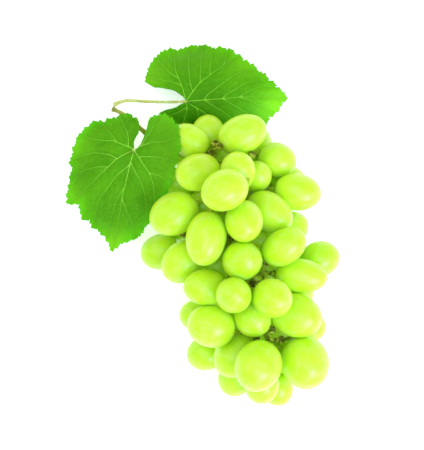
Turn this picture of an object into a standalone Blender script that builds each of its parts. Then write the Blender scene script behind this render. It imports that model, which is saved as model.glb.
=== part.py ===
"""A bunch of white table grapes lying on a surface, with its stalk and two vine leaves.

Frame: metres, +Z up. The origin is on the surface, under the middle of the bunch's box.
+Y runs along the bunch towards the cut end of the stalk, +X across it.
Sizes and places below are in millimetres and angles in degrees; MM turns them into metres.
"""

import math
from collections import namedtuple

import bmesh
import bpy
import numpy as np
from mathutils import Matrix, Vector
from mathutils.geometry import interpolate_bezier

MM = 0.001

# ---- berries ----
# A berry is an egg-like spheroid. heading and pitch say where its free end points: heading turns
# from +X towards +Y, pitch lifts it from the surface. Its other end sits on its own small stalk.
Berry = namedtuple("Berry", "x y z length width heading pitch")

BERRY_SIDES = 10
BERRY_RINGS = 7
SKIN_GAP = 0.35  # free space left between two skins
FOOT_PRESS = 0.25  # how far a resting berry is pressed flat
SHOWN_EASE = 0.15  # how freely the berries on show give way sideways
SETTLE_ROUNDS = 700
PULL_HOME, PULL_SHARE = 0.04, 0.7  # pull towards a berry's own place, and for how much of the rounds
PUSH_MARGIN = 0.03  # extra gap asked for, so that the last pushes leave the full one

CROWN = [
    Berry(2.5, 45.3, 24, 20, 17, 90, 10),
    Berry(19.7, 45, 36, 25, 18.5, 25, 10),
    Berry(-5.5, 40, 35, 20.5, 16, 150, 10),
    Berry(-0.7, 27.5, 40, 23, 18, 195, 25),
    Berry(16.8, 26.2, 37, 20.5, 17, 90, 45),
    Berry(11.2, 17.4, 54, 23.7, 19.5, 205, 20),
    Berry(-9.5, 37, 9, 17.5, 15, 160, -10),
    Berry(-12.5, 20.5, 17, 18, 16, 170, 0),
]
RIGHT_SHOULDER = [
    Berry(35.5, 32, 16, 19.5, 17, -20, 5),
    Berry(26.7, 25.3, 33, 17, 14.5, 60, 60),
    Berry(47.5, 16.5, 27, 23.5, 18, -8, 5),
    Berry(33.5, 5, 40, 25.5, 18.5, -35, 20),
    Berry(45, -1.5, 13, 17, 15.5, 20, 0),
    Berry(39.5, -9.5, 41, 23.5, 17, 30, 15),
    Berry(58, -17, 12, 19.5, 17.5, 20, 0),
]
LEFT_SHOULDER = [
    Berry(-13, 5, 43, 25.5, 20.5, 205, 15),
    Berry(1, -6, 46, 27, 19.5, 260, 15),
    Berry(-20.5, -12, 10, 20, 17.5, 200, 0),
    Berry(-6.5, -20, 28, 23, 19, 225, 10),
    Berry(0, 9.5, 26, 17, 15, 180, -10),
    Berry(4, -20, 27, 17, 15, 200, -10),
]
MIDDLE = [
    Berry(20.3, 1, 51, 23, 18, -90, 50),
    Berry(19.5, -17.5, 51, 23, 19, 0, 75),
    Berry(30, -8, 27, 17, 15, 20, -10),
    Berry(33, -24, 26, 17, 15, 0, -10),
    Berry(14.8, -33, 53, 21, 17, 0, 85),
    Berry(34, -36, 52, 23, 18.5, -30, 65),
    Berry(24, -46, 41, 20, 18, -60, 45),
    Berry(2, -30.5, 38, 22.5, 17.5, 180, 15),
    Berry(48.5, -26.7, 37, 26, 16.5, -5, 10),
    Berry(-1.6, -46, 9, 17, 15.5, 175, 0),
]
TIP = [
    Berry(46.3, -43.5, 38, 27, 21.5, -20, 30),
    Berry(6, -49.5, 39, 24, 20.5, 165, 20),
    Berry(52.3, -51.5, 10, 18, 16.5, -20, 0),
    Berry(1.5, -65, 10, 18.5, 17, 200, -5),
    Berry(16.8, -64.3, 34, 24.5, 20.5, 230, 20),
    Berry(27, -69, 45, 26.5, 22.5, 245, 40),
    Berry(51, -68.2, 37, 26.5, 23.5, -80, 30),
    Berry(17, -78, 10, 19, 17.5, 235, 0),
    Berry(30, -81, 20, 18, 17, 265, -5),
    Berry(38, -83.5, 9, 17, 16, 285, 0),
]
# Hidden below the others: the berries the bunch rests on.
UNDERSIDE = [
    Berry(8, 31, 9, 19.5, 17.5, 150, -40),
    Berry(26, 35, 10, 20.5, 18, 60, -20),
    Berry(39, 19, 9, 19.5, 17.5, 20, -20),
    Berry(-3, 13, 9, 19.5, 17.5, 175, -25),
    Berry(12, 3, 9, 20, 18, 190, -60),
    Berry(-9, -4, 9, 19.5, 17, 190, -15),
    Berry(27, 7, 9, 20, 18, 10, -35),
    Berry(44, -11, 9, 19.5, 17.5, 0, -20),
    Berry(9, -17, 9, 20, 18, 190, -30),
    Berry(26, -12, 9, 20, 18, 0, -60),
    Berry(45, -33, 9, 20, 18, -10, -20),
    Berry(24, -31, 9, 20, 18, -30, -60),
    Berry(7, -37, 9, 20, 17.5, 190, -25),
    Berry(16, -52, 9, 20, 18, 210, -30),
    Berry(34, -52, 9, 20, 18, -30, -40),
    Berry(43, -68, 10, 20, 18, -40, -30),
]

# ---- stalk ----
# From the cut end through the middle of the bunch to its tip.
STALK_ROUTE = [
    (-45.5, 58.5, 26), (-37, 54, 28.5), (-29, 46.5, 29), (-17, 38.5, 28), (-5, 34, 26),
    (6, 27, 26), (12, 13, 26), (16, -3, 27), (20, -19, 27), (24, -35, 27),
    (30, -50, 27), (34, -62, 27),
]
# Small stalks whose berries have been pulled off: where each one ends.
BARE_ENDS = [
    (6, 40.5, 38), (10.5, 40, 40), (4.5, 35.5, 37), (24.5, 35, 38), (12.5, 7, 38), (-9, -4.5, 33),
    (14, -6.5, 38), (31.5, -19.5, 38), (25, -29, 38), (26.5, -55, 36), (34.5, -52, 36), (39, -57, 36),
]
STALK_STEP, TWIG_STEP = 3.0, 2.6
STALK_SIDES, TWIG_SIDES = 7, 5
TWIG_RADIUS = 0.75
THICKENING = 0.13  # a stem's radius grows with the square root of the berries it feeds
CUT_END_SWELL = 1.3
SEAT_RADIUS, SEAT_LENGTH = 1.6, 1.8  # the widened end that a berry sits on
FORK_FROM = 0.3  # nothing forks off the first part of the stalk
FORKS_TRIED = 24
STEM_GAP = 0.35
STALK_ROOM, SEAT_ROOM = 2.1, 1.7  # free space the berries leave round the stalk and their seats
LOWEST_STEM = 2.0
BEND_ROUNDS = 70
STEM_STIFFNESS = 0.35  # share of a kink that one round of bending takes out
BITE_COST = 40  # millimetres of extra stem that are better than one millimetre into a berry

# ---- leaves ----
# A blade spreads round its base point. Its outline is a list of (angle, radius), and drop is how far
# it bends down at each of those angles. The first and last points are the two sides of its notch.
Leaf = namedtuple("Leaf", "base rise_x rise_y outline drop ripple notch_bend stalk")

LEAF_SPOKES, LEAF_RINGS = 36, 4
LEAF_THICKNESS = 0.5
NOTCH_REACH = 60  # degrees from the notch over which its sides' bend dies away
EDGE_WAVES = 7  # ripples in a full turn of the edge
LEFT_LEAF = Leaf(
    base=(-34, 37.3, 37),
    rise_x=0.20,
    rise_y=0.05,
    outline=[
        (79, 14), (96, 17.5), (115, 18), (137, 21.5), (153, 26), (180, 29.5), (205, 36),
        (219, 41), (238, 43), (256, 51), (273, 42), (294, 31), (318, 25), (342, 22),
        (366, 23), (388, 24.5), (407, 23), (421, 15),
    ],
    drop=[(79, 2), (150, 5), (218, 9), (258, 13), (300, 3), (360, 0), (421, 1)],
    ripple=0.8,
    notch_bend=(4, -3),
    stalk=[(-34, 36.3, 36.9), (-35.5, 41, 33), (-37.5, 46.5, 30.5), (-37.8, 50.4, 29.6)],
)
UPPER_LEAF = Leaf(
    base=(-8.4, 62.6, 17),
    rise_x=0.02,
    rise_y=0.12,
    outline=[
        (-159, 13), (-135, 12.5), (-106, 14.5), (-82, 14), (-57, 16), (-34, 24), (-20, 36),
        (-8, 45), (0, 49.5), (8, 47), (19, 41.5), (31, 37), (44, 34.5), (58, 32), (76, 29),
        (92, 27), (108, 27.5), (124, 27), (139, 26), (151, 22.5), (158, 17),
    ],
    drop=[(-159, 2), (-106, 5), (-60, 6), (-25, 5), (0, 7), (40, 12), (76, 16), (110, 15), (158, 8)],
    ripple=1.2,
    notch_bend=(-8, 18),
    stalk=[
        (-7.6, 62.6, 16.9), (-16.5, 62, 22), (-26.6, 61.9, 27), (-36.6, 62.2, 30),
        (-41, 61.5, 30.4), (-44.3, 60.1, 29.3),
    ],
)
LEAF_STALK_RADIUS, LEAF_STALK_SWELL = 0.75, 1.25  # at the blade, and how much thicker at the other end
LEAF_STALK_SIDES, LEAF_STALK_STEP = 6, 5

BERRY_COLOUR, BERRY_ROUGHNESS = (0.50, 0.72, 0.10), 0.35
STALK_COLOUR, STALK_ROUGHNESS = (0.36, 0.38, 0.10), 0.7
LEAF_COLOUR, LEAF_ROUGHNESS = (0.10, 0.36, 0.03), 0.5
WELD = 0.001  # vertices closer than this are one


def clear_scene():
    for obj in list(bpy.data.objects):
        bpy.data.objects.remove(obj)


def material(name, colour, roughness):
    made = bpy.data.materials.new(name)
    made.use_nodes = True
    shader = made.node_tree.nodes["Principled BSDF"]
    shader.inputs["Base Color"].default_value = (*colour, 1)
    shader.inputs["Roughness"].default_value = roughness
    shader.inputs["Metallic"].default_value = 0
    return made


def add_object(name, mesh, finish):
    mesh.materials.clear()
    mesh.materials.append(finish)
    obj = bpy.data.objects.new(name, mesh)
    bpy.context.scene.collection.objects.link(obj)
    return obj


def mesh_from(bm, name):
    mesh = bpy.data.meshes.new(name)
    bm.to_mesh(mesh)
    bm.free()
    mesh.shade_smooth()
    return mesh


def smooth_line(points, step):
    """Points about a step apart on a smooth curve through the given ones."""
    given = [Vector(p) for p in points]
    slopes = []
    for i in range(len(given)):
        before, after = given[max(i - 1, 0)], given[min(i + 1, len(given) - 1)]
        slopes.append((after - before) / (6 if 0 < i < len(given) - 1 else 3))
    line = [given[0]]
    for i in range(len(given) - 1):
        start, end = given[i], given[i + 1]
        pieces = max(2, round((end - start).length / step) + 1)
        line += interpolate_bezier(start, start + slopes[i], end - slopes[i + 1], end, pieces)[1:]
    return np.array([list(p) for p in line])


# ---- placing the berries ----


def facing(berry):
    """Unit vector towards the berry's free end."""
    heading, pitch = math.radians(berry.heading), math.radians(berry.pitch)
    return np.array([
        math.cos(heading) * math.cos(pitch), math.sin(heading) * math.cos(pitch), math.sin(pitch)
    ])


def shape_berry(bm, berry):
    bmesh.ops.create_uvsphere(bm, u_segments=BERRY_SIDES, v_segments=BERRY_RINGS, radius=0.5)
    stretch = Matrix.Diagonal((berry.width, berry.width, berry.length, 1))
    turn = Vector(facing(berry)).to_track_quat("Z", "Y").to_matrix().to_4x4()
    bmesh.ops.transform(bm, matrix=turn @ stretch, verts=bm.verts)


def lowest_corner(berry):
    """Height of the berry mesh's lowest corner, from the berry's centre."""
    bm = bmesh.new()
    shape_berry(bm, berry)
    lowest = min(v.co.z for v in bm.verts)
    bm.free()
    return lowest


def spheroid(berry):
    """Shape matrix whose square root is the berry's half width, or half length along its axis."""
    axis = facing(berry)
    half, long = berry.width / 2, berry.length / 2
    return half**2 * np.eye(3) + (long**2 - half**2) * np.outer(axis, axis)


def contact_normals(centres, shapes, first, second):
    """Unit normals between pairs of spheroids, and how far apart the pairs are along them."""
    between = centres[second] - centres[first]
    best, normals = np.full(len(first), -1.0), between.copy()
    for share in np.linspace(0.2, 0.8, 7):
        mixed = (1 - share) * shapes[first] + share * shapes[second]
        across = np.linalg.solve(mixed, between[..., None])[..., 0]
        value = share * (1 - share) * (between * across).sum(1)
        better = value > best
        best[better], normals[better] = value[better], across[better]
    normals /= np.linalg.norm(normals, axis=1, keepdims=True)
    reach = sum(
        np.sqrt(np.einsum("ij,ijk,ik->i", normals, shapes[k], normals)) for k in (first, second)
    )
    return normals, (between * normals).sum(1) - reach


def pushes_off(points, radius, centres, inside, halves):
    """For every point and berry: which way, and how far, the berry must go to clear a ball of
    this radius at the point."""
    offset = centres[None] - points[:, None]
    depth = np.sqrt(np.einsum("pbi,bij,pbj->pb", offset, inside, offset))
    near = np.clip(1 + (radius + STEM_GAP) / halves[None] - depth, 0, None) * halves[None]
    away = offset / np.maximum(np.linalg.norm(offset, axis=2, keepdims=True), 1e-6)
    return away, near


def settle(berries, route, shown):
    """Moves overlapping berries apart, off the stalk and onto the surface. The first shown of them
    keep close to their places, seen from above."""
    centres = np.array([[b.x, b.y, b.z] for b in berries], float)
    wanted = centres.copy()
    shapes = np.array([spheroid(b) for b in berries])
    inside = np.array([np.linalg.inv(s) for s in shapes])
    axes = np.array([facing(b) for b in berries])
    halves = np.array([b.width for b in berries]) / 2
    stem_reach = (np.array([b.length for b in berries]) / 2 + SEAT_ROOM)[:, None] * axes
    foot = np.array([-lowest_corner(b) - FOOT_PRESS for b in berries])
    first, second = np.triu_indices(len(berries), 1)
    ease = np.ones_like(centres)
    ease[:shown, :2] = SHOWN_EASE
    for turn in range(SETTLE_ROUNDS):
        if turn < PULL_SHARE * SETTLE_ROUNDS:
            centres += PULL_HOME * (wanted - centres)
        normals, apart = contact_normals(centres, shapes, first, second)
        push = np.clip(SKIN_GAP + PUSH_MARGIN - apart, 0, None)[:, None] * normals / 2
        moves = np.zeros_like(centres)
        np.add.at(moves, second, push)
        np.add.at(moves, first, -push)
        away, near = pushes_off(route, STALK_ROOM, centres, inside, halves)
        worst = near.argmax(0)
        each = np.arange(len(berries))
        moves += away[worst, each] * near[worst, each][:, None]
        away, near = pushes_off(centres - stem_reach, SEAT_ROOM, centres, inside, halves)
        np.fill_diagonal(near, 0)
        aside = away * near[..., None] / 2
        moves += aside.sum(0) - aside.sum(1)
        centres += moves * ease
        centres[:, 2] = np.maximum(centres[:, 2], foot)
    return [b._replace(x=c[0], y=c[1], z=c[2]) for b, c in zip(berries, centres)]


# ---- growing the stalk ----


def push_out(points, free, radius, obstacles):
    """Bends the free points of a line out of the berries, and smooths the line."""
    points = points.copy()
    for turn in range(BEND_ROUNDS):
        stiffness = STEM_STIFFNESS * (1 - turn / BEND_ROUNDS)
        if len(points) > 2:
            middle = (points[:-2] + points[2:]) / 2
            points[1:-1] += stiffness * (middle - points[1:-1]) * free[1:-1, None]
        away, near = pushes_off(points, radius, *obstacles)
        points -= (away * near[..., None]).sum(1) * free[:, None]
        points[:, 2] = np.maximum(points[:, 2], LOWEST_STEM)
    return points


def bite(points, radius, obstacles):
    """How far the line, at this radius, is inside the clear space round the berries."""
    return pushes_off(points, radius, *obstacles)[1].max()


class Stems:
    """The branching stalk: its points, the point each one grows from, and the lines they make."""

    def __init__(self, route):
        self.points = [np.array(p) for p in route]
        self.parents = [i - 1 for i in range(len(route))]
        self.loads = [0] * len(route)
        self.can_fork = [i > len(route) * FORK_FROM for i in range(len(route))]
        self.lines = [list(range(len(route)))]

    def grow(self, end, approach, obstacles):
        """Adds a twig that reaches end along the approach direction, from the best nearby stem."""
        lead = end + approach * SEAT_LENGTH
        forks = [i for i, allowed in enumerate(self.can_fork) if allowed]
        forks.sort(key=lambda i: np.linalg.norm(self.points[i] - lead))
        best = None
        for fork in forks[:FORKS_TRIED]:
            start = self.points[fork]
            count = max(2, round(np.linalg.norm(lead - start) / TWIG_STEP))
            line = [*(start + (lead - start) * k / count for k in range(count + 1)), end]
            free = np.array([0, *[1] * (count - 1), 0, 0], float)
            line = push_out(np.array(line), free, TWIG_RADIUS, obstacles)
            depth = bite(line[1:-2], TWIG_RADIUS, obstacles)
            score = np.linalg.norm(np.diff(line, axis=0), axis=1).sum() + BITE_COST * depth
            if best is None or score < best[0]:
                best = (score, fork, line, depth)
        _, fork, line, depth = best
        ids = [fork]
        for point in line[1:]:
            self.points.append(point)
            self.parents.append(ids[-1])
            self.loads.append(0)
            self.can_fork.append(True)
            ids.append(len(self.points) - 1)
        for i in ids[-2:]:
            self.can_fork[i] = False
        self.lines.append(ids)
        i = ids[-1]
        while i >= 0:
            self.loads[i] += 1
            i = self.parents[i]
        return depth

    def radius(self, i):
        return TWIG_RADIUS + THICKENING * (math.sqrt(max(self.loads[i], 1)) - 1)


def tube(name, points, radii, sides):
    """A closed tube along the points, made by a bevelled curve."""
    curve = bpy.data.curves.new(name, "CURVE")
    curve.dimensions = "3D"
    curve.bevel_depth = 1.0
    curve.bevel_resolution = 0
    curve.use_fill_caps = True
    bevel = bpy.data.curves.new(name + "_section", "CURVE")
    bevel.dimensions = "2D"
    section = bevel.splines.new("POLY")
    section.points.add(sides - 1)
    for k in range(sides):
        turn = 2 * math.pi * k / sides
        section.points[k].co = (math.cos(turn), math.sin(turn), 0, 1)
    section.use_cyclic_u = True
    bevel_object = bpy.data.objects.new(name + "_section", bevel)
    curve.bevel_mode = "OBJECT"
    curve.bevel_object = bevel_object
    line = curve.splines.new("POLY")
    line.points.add(len(points) - 1)
    for k, point in enumerate(points):
        line.points[k].co = (*point, 1)
        line.points[k].radius = radii[k]
    holder = bpy.data.objects.new(name, curve)
    bpy.context.scene.collection.objects.link(holder)
    mesh = bpy.data.meshes.new_from_object(
        holder.evaluated_get(bpy.context.evaluated_depsgraph_get())
    )
    bpy.data.objects.remove(holder)
    bpy.data.objects.remove(bevel_object)
    bm = bmesh.new()
    bm.from_mesh(mesh)
    bmesh.ops.remove_doubles(bm, verts=bm.verts, dist=WELD)
    bmesh.ops.recalc_face_normals(bm, faces=bm.faces)
    bm.to_mesh(mesh)
    bm.free()
    return mesh


def helper(name, mesh, group):
    """An object that only serves a Boolean."""
    obj = bpy.data.objects.new(name, mesh)
    group.objects.link(obj)
    obj.hide_render = True
    obj.display_type = "WIRE"
    return obj


def join_all(obj, group):
    union = obj.modifiers.new("grown_together", "BOOLEAN")
    union.operation = "UNION"
    union.operand_type = "COLLECTION"
    union.collection = group
    union.solver = "EXACT"


# ---- leaves ----


def through(pairs, angle):
    """Smooth value at an angle from a list of (angle, value)."""
    angles = [p[0] for p in pairs]
    values = [p[1] for p in pairs]
    angle = min(max(angle, angles[0]), angles[-1])
    i = min(max(np.searchsorted(angles, angle) - 1, 0), len(pairs) - 2)
    share = (angle - angles[i]) / (angles[i + 1] - angles[i])
    before, after = max(i - 1, 0), min(i + 2, len(pairs) - 1)
    slope_start = (values[i + 1] - values[before]) / (angles[i + 1] - angles[before])
    slope_end = (values[after] - values[i]) / (angles[after] - angles[i])
    span = angles[i + 1] - angles[i]
    s2, s3 = share**2, share**3
    return (
        (2 * s3 - 3 * s2 + 1) * values[i] + (s3 - 2 * s2 + share) * span * slope_start
        + (3 * s2 - 2 * s3) * values[i + 1] + (s3 - s2) * span * slope_end
    )


def leaf_point(leaf, angle, share):
    """A point of the blade, a share of the way from its base to its edge."""
    first, last = leaf.outline[0][0], leaf.outline[-1][0]
    to_first = max(0.0, 1 - (angle - first) / NOTCH_REACH)
    to_last = max(0.0, 1 - (last - angle) / NOTCH_REACH)
    bend = (leaf.notch_bend[0] * to_first**2 - leaf.notch_bend[1] * to_last**2) * (1 - share) ** 2
    radius = through(leaf.outline, angle) * share
    turn = math.radians(angle + bend)
    x, y = radius * math.cos(turn), radius * math.sin(turn)
    fall = through(leaf.drop, angle) * share**2
    wave = leaf.ripple * share**3 * math.sin(math.radians(angle * EDGE_WAVES))
    z = leaf.rise_x * x + leaf.rise_y * y - fall + wave
    return Vector(leaf.base) + Vector((x, y, z))


def blade_mesh(leaf, name):
    bm = bmesh.new()
    bmesh.ops.create_grid(bm, x_segments=LEAF_SPOKES, y_segments=LEAF_RINGS, size=1)
    first, last = leaf.outline[0][0], leaf.outline[-1][0]
    for v in bm.verts:
        angle = first + (last - first) * (v.co.x + 1) / 2
        v.co = leaf_point(leaf, angle, (v.co.y + 1) / 2)
    bmesh.ops.remove_doubles(bm, verts=bm.verts, dist=WELD)
    bmesh.ops.triangulate(bm, faces=bm.faces)
    up = sum((f.normal.z * f.calc_area() for f in bm.faces), 0.0)
    if up < 0:
        bmesh.ops.reverse_faces(bm, faces=bm.faces)
    return mesh_from(bm, name)


def build_leaf(name, leaf, finish):
    blade = add_object(name, blade_mesh(leaf, name), finish)
    wall = blade.modifiers.new("thickness", "SOLIDIFY")
    wall.thickness = LEAF_THICKNESS
    wall.offset = 0
    wall.use_rim = True
    line = smooth_line(leaf.stalk, LEAF_STALK_STEP)
    radii = np.linspace(LEAF_STALK_RADIUS, LEAF_STALK_RADIUS * LEAF_STALK_SWELL, len(line))
    group = bpy.data.collections.new(name + "_stalk")
    helper(name + "_stalk", tube(name + "_stalk", line, radii, LEAF_STALK_SIDES), group)
    join_all(blade, group)
    return blade


# ---- the bunch ----


def build_berries(berries, finish):
    made = []
    for number, berry in enumerate(berries, 1):
        bm = bmesh.new()
        shape_berry(bm, berry)
        bmesh.ops.translate(bm, vec=(berry.x, berry.y, berry.z), verts=bm.verts)
        if min(v.co.z for v in bm.verts) < 0:
            faces = bm.verts[:] + bm.edges[:] + bm.faces[:]
            cut = bmesh.ops.bisect_plane(
                bm, geom=faces, plane_co=(0, 0, 0), plane_no=(0, 0, -1), clear_outer=True
            )
            rim = [e for e in cut["geom_cut"] if isinstance(e, bmesh.types.BMEdge)]
            bmesh.ops.edgeloop_fill(bm, edges=rim)
            bmesh.ops.recalc_face_normals(bm, faces=bm.faces)
        made.append(add_object(f"berry_{number:02d}", mesh_from(bm, "berry"), finish))
    return made


def build_stalk(berries, route, finish):
    centres = np.array([[b.x, b.y, b.z] for b in berries])
    halves = np.array([b.width for b in berries]) / 2
    obstacles = (centres, np.array([np.linalg.inv(spheroid(b)) for b in berries]), halves)
    stems = Stems(route)
    ends = []
    for berry, centre in zip(berries, centres):
        axis = facing(berry)
        ends.append((centre - axis * (berry.length / 2 + STEM_GAP), -axis))
    ends.sort(key=lambda e: np.linalg.norm(route - e[0], axis=1).min())
    for end in BARE_ENDS:
        end = push_out(np.array([end], float), np.ones(1), SEAT_RADIUS, obstacles)[0]
        near = route[np.linalg.norm(route - end, axis=1).argmin()]
        ends.append((end, (near - end) / np.linalg.norm(near - end)))
    for end, approach in ends:
        stems.grow(end, approach, obstacles)
    group = bpy.data.collections.new("twigs")
    body = None
    for number, ids in enumerate(stems.lines):
        points = [stems.points[i] for i in ids]
        radii = [stems.radius(i) for i in ids]
        if number == 0:
            radii[0] *= CUT_END_SWELL
            body = add_object("stalk", tube("stalk", points, radii, STALK_SIDES), finish)
            continue
        radii[0] = radii[1]
        radii[-1] = SEAT_RADIUS
        helper(f"twig_{number}", tube(f"twig_{number}", points, radii, TWIG_SIDES), group)
    join_all(body, group)
    return body


def centre_and_scale(objects):
    """Puts the origin under the middle of the box, and turns millimetres into metres."""
    graph = bpy.context.evaluated_depsgraph_get()
    corners = []
    for obj in objects:
        evaluated = obj.evaluated_get(graph)
        mesh = evaluated.to_mesh()
        corners += [v.co.copy() for v in mesh.vertices]
        evaluated.to_mesh_clear()
    corners = np.array([list(c) for c in corners])
    low, high = corners.min(0), corners.max(0)
    middle = (low + high) / 2
    move = Matrix.Translation((-middle[0], -middle[1], 0))
    print("box, mm:", np.round(high - low, 1), "moved by", np.round(-middle[:2], 2))
    for mesh in {o.data for o in bpy.data.objects if o.type == "MESH"}:
        mesh.transform(Matrix.Scale(MM, 4) @ move)
    for obj in objects:
        for modifier in obj.modifiers:
            if modifier.type == "SOLIDIFY":
                modifier.thickness *= MM


def main():
    clear_scene()
    route = smooth_line(STALK_ROUTE, STALK_STEP)
    shown = CROWN + RIGHT_SHOULDER + LEFT_SHOULDER + MIDDLE + TIP
    berries = settle(shown + UNDERSIDE, route, len(shown))
    objects = build_berries(berries, material("berry_skin", BERRY_COLOUR, BERRY_ROUGHNESS))
    objects.append(build_stalk(berries, route, material("stalk", STALK_COLOUR, STALK_ROUGHNESS)))
    leaf_finish = material("leaf", LEAF_COLOUR, LEAF_ROUGHNESS)
    objects.append(build_leaf("left_leaf", LEFT_LEAF, leaf_finish))
    objects.append(build_leaf("upper_leaf", UPPER_LEAF, leaf_finish))
    centre_and_scale(objects)


main()
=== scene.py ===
import math
import random

import bmesh
import bpy
import numpy as np
from mathutils import Matrix, Vector, noise
from mathutils.kdtree import KDTree


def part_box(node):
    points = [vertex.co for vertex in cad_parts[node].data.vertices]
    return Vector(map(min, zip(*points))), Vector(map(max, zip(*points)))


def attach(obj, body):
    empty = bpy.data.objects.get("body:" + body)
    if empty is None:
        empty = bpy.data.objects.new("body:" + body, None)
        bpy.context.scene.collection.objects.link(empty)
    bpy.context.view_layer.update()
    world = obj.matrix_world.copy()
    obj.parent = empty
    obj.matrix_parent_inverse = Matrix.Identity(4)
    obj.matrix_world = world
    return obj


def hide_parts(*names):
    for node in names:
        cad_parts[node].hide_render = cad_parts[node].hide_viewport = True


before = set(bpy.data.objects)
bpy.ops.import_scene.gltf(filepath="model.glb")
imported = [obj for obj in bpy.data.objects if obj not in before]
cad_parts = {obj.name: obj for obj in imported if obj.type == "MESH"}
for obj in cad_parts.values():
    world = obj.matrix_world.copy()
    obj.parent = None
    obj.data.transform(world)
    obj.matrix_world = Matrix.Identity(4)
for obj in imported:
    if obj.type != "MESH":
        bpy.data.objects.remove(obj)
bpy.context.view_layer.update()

mm = 0.001

random.seed(41)
berryNames = sorted(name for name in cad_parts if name.startswith("berry"))


def addNode(tree, kind, inputs=None, **settings):
    # a shader node, its inputs linked where they are given a socket and set where given a value
    node = tree.nodes.new("ShaderNode" + kind)
    for key, value in settings.items():
        setattr(node, key, value)
    for key, value in (inputs or {}).items():
        if isinstance(value, bpy.types.NodeSocket):
            tree.links.new(value, node.inputs[key])
        else:
            node.inputs[key].default_value = value
    return node


def sums(tree, operation, first, second=0.0, third=0.0, clamp=False):
    # third is only what MULTIPLY_ADD adds
    inputs = {0: first, 1: second}
    if operation == "MULTIPLY_ADD":
        inputs[2] = third
    return addNode(tree, "Math", inputs, operation=operation, use_clamp=clamp).outputs[0]


def blendColours(tree, factor, first, second):
    first = (*first, 1) if isinstance(first, tuple) else first
    second = (*second, 1) if isinstance(second, tuple) else second
    inputs = {0: factor, 6: first, 7: second}
    return addNode(tree, "Mix", inputs, data_type="RGBA").outputs[2]


def between(tree, value, low, high, toLow=0.0, toHigh=1.0):
    # eases from toLow to toHigh while the value goes from low to high
    inputs = {0: value, 1: low, 2: high, 3: toLow, 4: toHigh}
    return addNode(tree, "MapRange", inputs, interpolation_type="SMOOTHSTEP").outputs[0]


def cloud(tree, place, scale, detail=3.0, rough=0.55):
    inputs = {"Vector": place, "Scale": scale, "Detail": detail, "Roughness": rough}
    return addNode(tree, "TexNoise", inputs).outputs["Fac"]


def attribute(tree, name, output="Fac"):
    return addNode(tree, "Attribute", attribute_name=name).outputs[output]


def objectPlace(tree):
    return addNode(tree, "TexCoord").outputs["Object"]


def parts(tree, name):
    # the three numbers that a mesh attribute holds at each vertex
    return addNode(tree, "SeparateXYZ", {0: attribute(tree, name, "Vector")}).outputs


def newMaterial(name):
    material = bpy.data.materials.new(name)
    material.use_nodes = True
    tree = material.node_tree
    return material, tree, tree.nodes["Principled BSDF"]


def newGroup(name, takes, gives):
    group = bpy.data.node_groups.new(name, "ShaderNodeTree")
    for socket, kind, value in takes:
        made = group.interface.new_socket(socket, in_out="INPUT", socket_type=kind)
        if value is not None:
            made.default_value = value
    for socket, kind in gives:
        group.interface.new_socket(socket, in_out="OUTPUT", socket_type=kind)
    return group, group.nodes.new("NodeGroupInput"), group.nodes.new("NodeGroupOutput")


def mottlingGroup():
    # slow patches and fine grain of growing tissue
    group, given, result = newGroup(
        "mottling",
        [("Place", "NodeSocketVector", None), ("Patch", "NodeSocketFloat", 90.0),
         ("Grain", "NodeSocketFloat", 600.0)],
        [("Patches", "NodeSocketFloat"), ("Grains", "NodeSocketFloat")],
    )
    slow = cloud(group, given.outputs["Place"], given.outputs["Patch"], 2.0)
    fine = cloud(group, given.outputs["Place"], given.outputs["Grain"], 4.0, 0.65)
    group.links.new(between(group, slow, 0.3, 0.7), result.inputs["Patches"])
    group.links.new(between(group, fine, 0.3, 0.7), result.inputs["Grains"])
    return group


def specksGroup():
    # round dots, one here and there in each cell
    group, given, result = newGroup(
        "specks",
        [("Place", "NodeSocketVector", None), ("Spacing", "NodeSocketFloat", 400.0),
         ("Size", "NodeSocketFloat", 0.12), ("Share", "NodeSocketFloat", 0.5)],
        [("Dots", "NodeSocketFloat")],
    )
    inputs = {"Vector": given.outputs["Place"], "Scale": given.outputs["Spacing"]}
    cells = addNode(group, "TexVoronoi", inputs, feature="F1")
    split = addNode(group, "SeparateColor", {0: cells.outputs["Color"]})
    reach = sums(group, "MULTIPLY", given.outputs["Size"], split.outputs[1])
    inner = sums(group, "MULTIPLY", reach, 0.5)
    fade = {0: cells.outputs["Distance"], 1: inner, 2: reach, 3: 1.0, 4: 0.0}
    dots = addNode(group, "MapRange", fade).outputs[0]
    chosen = sums(group, "LESS_THAN", split.outputs[0], given.outputs["Share"])
    group.links.new(sums(group, "MULTIPLY", dots, chosen), result.inputs["Dots"])
    return group


mottling = mottlingGroup()
specks = specksGroup()


def useGroup(tree, group, inputs):
    return addNode(tree, "Group", inputs, node_tree=group).outputs


# metres, watts and linear colours
studio = {
    "cameraHeight": 1.0,
    "cameraAside": (0.00375, 0.00061),
    "lens": 155.2,
    "floorSize": 30.0,
    "floorColour": (0.92, 0.92, 0.91),
    "floorGlow": 0.50,
    "glowColour": (0.97, 1.0, 1.06),
    # shadeGlow and shadeColour paint the shade under the bunch onto the card
    "shadeGlow": (0.05, 0.09, 0.0),
    "shadeColour": (0.42, 0.55, 0.20),
    "skyStrength": 0.62,
    "skyColour": (1.0, 1.0, 0.82),
    "backdrop": (1.0, 1.0, 1.0),
    "keyPlace": (0.62, -0.62, 0.80),
    "keySize": 0.72,
    "keyPower": 9.8,
    "keyColour": (0.66, 0.92, 1.45),
    "fillPlace": (-0.70, 0.50, 0.90),
    "fillSize": 0.9,
    "fillPower": 3.0,
    "fillColour": (1.0, 1.0, 0.72),
    "topPlace": (0.05, -0.05, 1.6),
    "topSize": 1.0,
    "topPower": 5.5,
    "topColour": (0.78, 0.94, 1.35),
    "shadeLine": ((0.013, 0.028), (0.030, -0.055)),  # the middle of the bunch, from its crown to its tip
    "shadeReach": (0.013, 0.024),
}


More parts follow.
